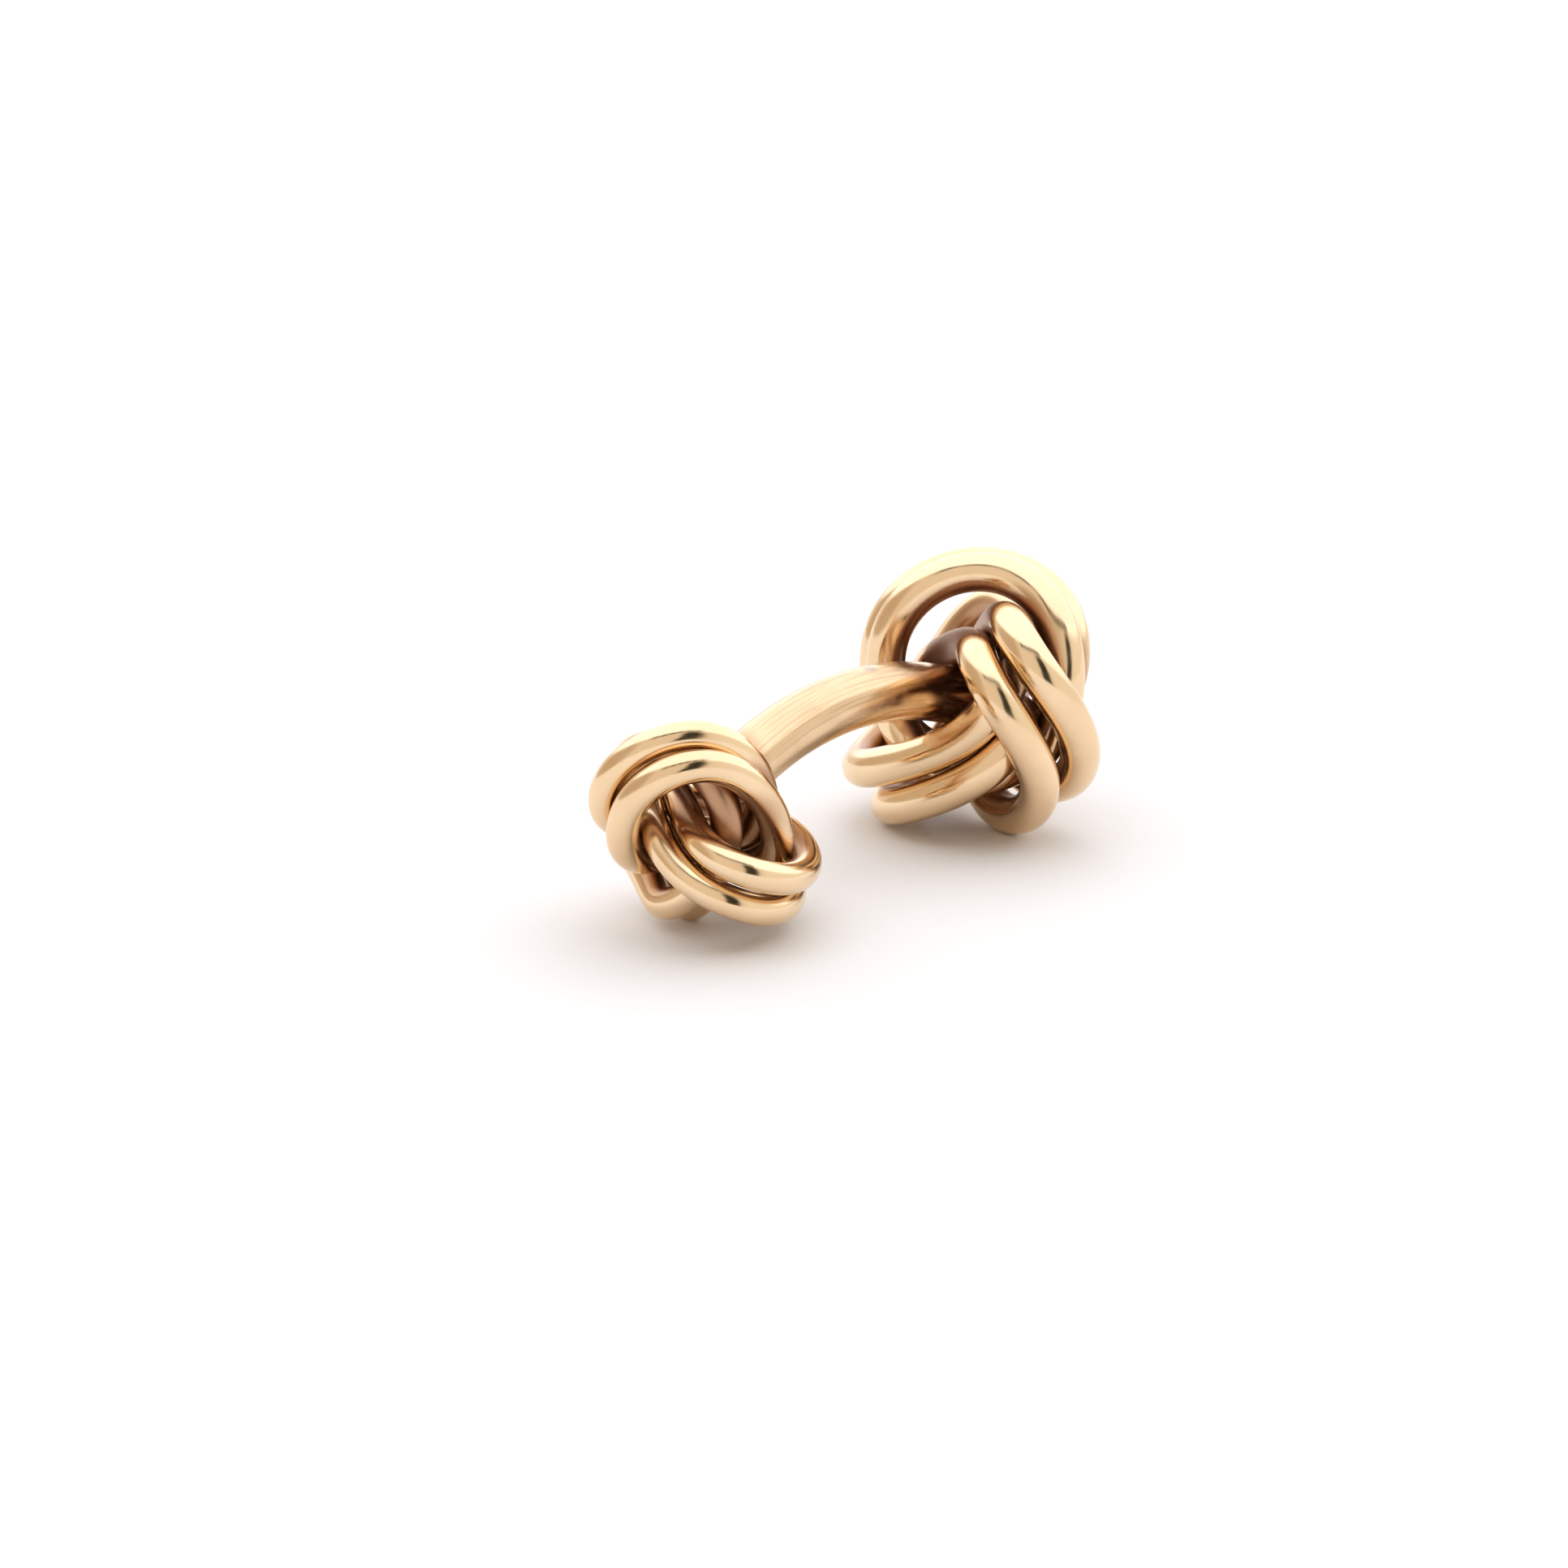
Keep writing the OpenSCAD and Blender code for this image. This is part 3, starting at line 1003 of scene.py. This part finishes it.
@dataclass(frozen=True)
class LightTent:
    """The tent around the cufflink, lit from above and behind, and the white sheet under it.

    Attributes:
        camera_azimuth: the camera's side of the tent, in degrees.
        cloth: the light of the plain cloth.
        sides: the brighter cloth on the right and the darker cloth on the left.
        lamp: the wide lamp above and behind.
        lamp_edge: the dark frame on the lamp's near edge.
        opening: the dark slit in the cloth beside the camera.
        sheet_radius: the sheet's radius, in metres.
        sheet_sides: the number of its sides.
    """

    camera_azimuth: float
    cloth: Colour = (0.90, 0.81, 0.71)
    # The columns of a patch are turn, height, inner, outer and colour.
    sides: tuple[SkyPatch, ...] = (
        SkyPatch(85.0, 5.0, 25.0, 55.0, (1.00, 0.96, 0.88)),
        SkyPatch(-90.0, 10.0, 25.0, 45.0, (0.66, 0.53, 0.40)),
    )
    lamp: SkyPatch = SkyPatch(165.0, 62.0, 57.0, 64.0, (1.58, 1.58, 1.62))
    lamp_edge: tuple[SkyPatch, ...] = (
        SkyPatch(-40.0, 50.0, 2.0, 7.0, (0.08, 0.08, 0.04)),
        SkyPatch(-22.0, 53.0, 2.0, 7.0, (0.08, 0.08, 0.04)),
        SkyPatch(-4.0, 55.0, 2.0, 7.0, (0.08, 0.08, 0.04)),
        SkyPatch(14.0, 56.0, 2.0, 7.0, (0.08, 0.08, 0.04)),
        SkyPatch(32.0, 54.0, 2.0, 7.0, (0.08, 0.08, 0.04)),
        SkyPatch(48.0, 50.0, 2.0, 7.0, (0.08, 0.08, 0.04)),
    )
    opening: tuple[SkyPatch, ...] = (
        SkyPatch(16.0, -4.0, 9.0, 16.0, (0.05, 0.05, 0.03)),
        SkyPatch(20.0, 8.0, 9.0, 16.0, (0.04, 0.04, 0.02)),
        SkyPatch(26.0, 22.0, 9.0, 16.0, (0.03, 0.03, 0.02)),
        SkyPatch(30.0, 34.0, 9.0, 16.0, (0.03, 0.03, 0.02)),
    )
    sheet_radius: float = 2.5
    sheet_sides: int = 64

    def build(self) -> None:
        """Builds the tent's light and the sheet."""
        self.light()
        self.lay_sheet()

    def light(self) -> None:
        """Makes the world's light from the tent's cloth, its lamp with a dark edge, and its dark opening."""
        world = bpy.data.worlds.new("light_tent")
        world.use_nodes = True
        bpy.context.scene.world = world
        sheet = NodeSheet(world.node_tree)
        way = sheet.add("TexCoord").outputs["Generated"]
        colour: Input = self.cloth
        for patch in (*self.sides, self.lamp, *self.lamp_edge, *self.opening):
            nearness = sheet.dot(way, patch.direction(self.camera_azimuth))
            colour = sheet.mix(sheet.ramp(nearness, patch.fade()), colour, patch.colour)
        sky = sheet.add("Background", Color=colour, Strength=1.0)
        sheet.add("OutputWorld", Surface=sky.outputs["Background"])

    def lay_sheet(self) -> None:
        """Lays the round white sheet that the cufflink lies on."""
        shape = bmesh.new()
        bmesh.ops.create_circle(shape, segments=self.sheet_sides, radius=self.sheet_radius, cap_ends=True)
        floor = finished_object("white_sheet", shape)
        floor.data.materials.append(WhitePaper().material())


@dataclass(frozen=True)
class PhotoCamera:
    """The camera at the photograph's viewing angle. Millimetres and degrees.

    Attributes:
        aim: the point that the middle of the picture shows.
        distance: the distance from there to the camera.
        azimuth: the camera's angle round that point, 0 towards -Y and 90 towards +X.
        elevation: its angle above the horizon.
        roll: its turn about its own axis.
        focal_length: the lens's focal length.
        sensor: the width of the sensor.
        nearest: the distance from which on things are drawn.
        farthest: the distance up to which they are.
    """

    aim: Point = (-7.384, -2.528, 6.0)
    distance: float = 117.498
    azimuth: float = 313.311
    elevation: float = 16.861
    roll: float = -1.227
    focal_length: float = 67.08
    sensor: float = 36.0
    nearest: float = 5.0
    farthest: float = 20000.0

    def build(self) -> None:
        """Places the camera and makes it the scene's own."""
        lens = bpy.data.cameras.new("photo_camera")
        lens.lens = self.focal_length
        lens.sensor_width = self.sensor
        lens.clip_start = self.nearest * MM
        lens.clip_end = self.farthest * MM
        camera = bpy.data.objects.new("photo_camera", lens)
        back = way_to(self.azimuth, self.elevation)
        camera.location = (Vector(self.aim) + self.distance * back) * MM
        rolled = Quaternion(UP, math.radians(self.roll))
        camera.rotation_euler = ((-back).to_track_quat("-Z", "Y") @ rolled).to_euler()
        bpy.context.scene.collection.objects.link(camera)
        bpy.context.scene.camera = camera


def large_knot(arch: Arch) -> WireKnot:
    """Gives the sizes of the larger knot, on the arch's end towards +X.

    Args:
        arch: the arch that it sits on.

    Returns:
        The knot.
    """
    # The columns of own are half_length, half_width, offset, shift, lift, lean,
    # turn, tilt, long_egg, long_skew, wide_egg and wide_skew.
    return WireKnot(
        name="large", arch=arch, seat=arch.large_seat, roll=82.2, cant_x=11.5, cant_y=-8.7,
        wire_d=1.76, pitch=1.96, spread=Swell(0.22, 58, 1), second_spread=Swell(0.1, 116, 2),
        bend=Swell(0.11, -106, 2), wave=Swell(0.42, -25, 3),
        swing=Swell(37.3, -74, 1), ripple=Swell(13, 138, 2),
        mean=PairShape(half_length=4.32, half_width=4.37, offset=1.02, shift=-0.01, lift=-0.3, lean=35.3,
                       turn=-56, tilt=17.9, long_egg=0.27, long_skew=0.62, wide_egg=-0.8, wide_skew=-0.16),
        own=(PairShape(-0.06, -0.21, 0.08, -0.14, 0.25, -6.6, 0.2, -8.1, -0.4, 0.09, 0.02, 0.14),
             PairShape(-0.74, 0.4, 0.03, 0.4, -0.13, -1, 7.7, 1.8, 0.07, 0.15, 0.31, -0.28),
             PairShape(0.81, -0.18, -0.1, -0.26, -0.12, 7.8, -8, 6.2, 0.33, -0.24, -0.34, 0.14)),
        hollow=(8.3, -1.0, 7.2), hollow_radius=3.6)


def small_knot(arch: Arch) -> WireKnot:
    """Gives the sizes of the smaller knot, of thinner wire, on the arch's end towards -X.

    Args:
        arch: the arch that it sits on.

    Returns:
        The knot.
    """
    # The columns of own are those of the larger knot's.
    return WireKnot(
        name="small", arch=arch, seat=arch.small_seat, roll=72.3, cant_x=4.3, cant_y=-4.2,
        wire_d=1.32, pitch=1.46, spread=Swell(0.14, 91, 1), second_spread=Swell(0.06, -178, 2),
        bend=Swell(0.35, -98, 2), wave=Swell(0.15, 159, 3),
        swing=Swell(33.4, -103, 1), ripple=Swell(14.9, 110, 2),
        mean=PairShape(half_length=3.04, half_width=3.37, offset=1.31, shift=-0.07, lift=-0.17, lean=40.4,
                       turn=-59, tilt=15.5, long_egg=0.39, long_skew=0.05, wide_egg=0.23, wide_skew=0.22),
        own=(PairShape(-0.19, 0.01, -0.08, -0.02, 0.09, 1.7, -5.6, -1.1, -0.02, -0.02, 0.05, 0.15),
             PairShape(0.05, 0.22, -0.19, -0.03, -0.07, -2.9, 1, 4.4, 0.21, 0.07, -0.42, 0.02),
             PairShape(0.12, -0.23, 0.27, 0.04, -0.02, 1.1, 4.6, -3.4, -0.2, -0.04, 0.37, -0.17)),
        hollow=(-9.6, -1.5, 5.4), hollow_radius=2.05)


def main() -> None:
    """Builds the cufflink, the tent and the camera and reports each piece."""
    logging.basicConfig(level=logging.INFO, format="%(name)s: %(message)s")
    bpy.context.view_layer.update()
    arch = Arch()
    pieces = [*large_knot(arch).build(), *small_knot(arch).build(), CuffBar(arch).build()]
    for piece in pieces:
        LOG.info("%s: %d faces in %s", piece.name, len(piece.data.polygons), piece.data.materials[0].name)
    camera = PhotoCamera()
    LightTent(camera.azimuth).build()
    camera.build()
    bpy.context.scene.view_settings.view_transform = "Standard"


if __name__ == "__main__":
    main()
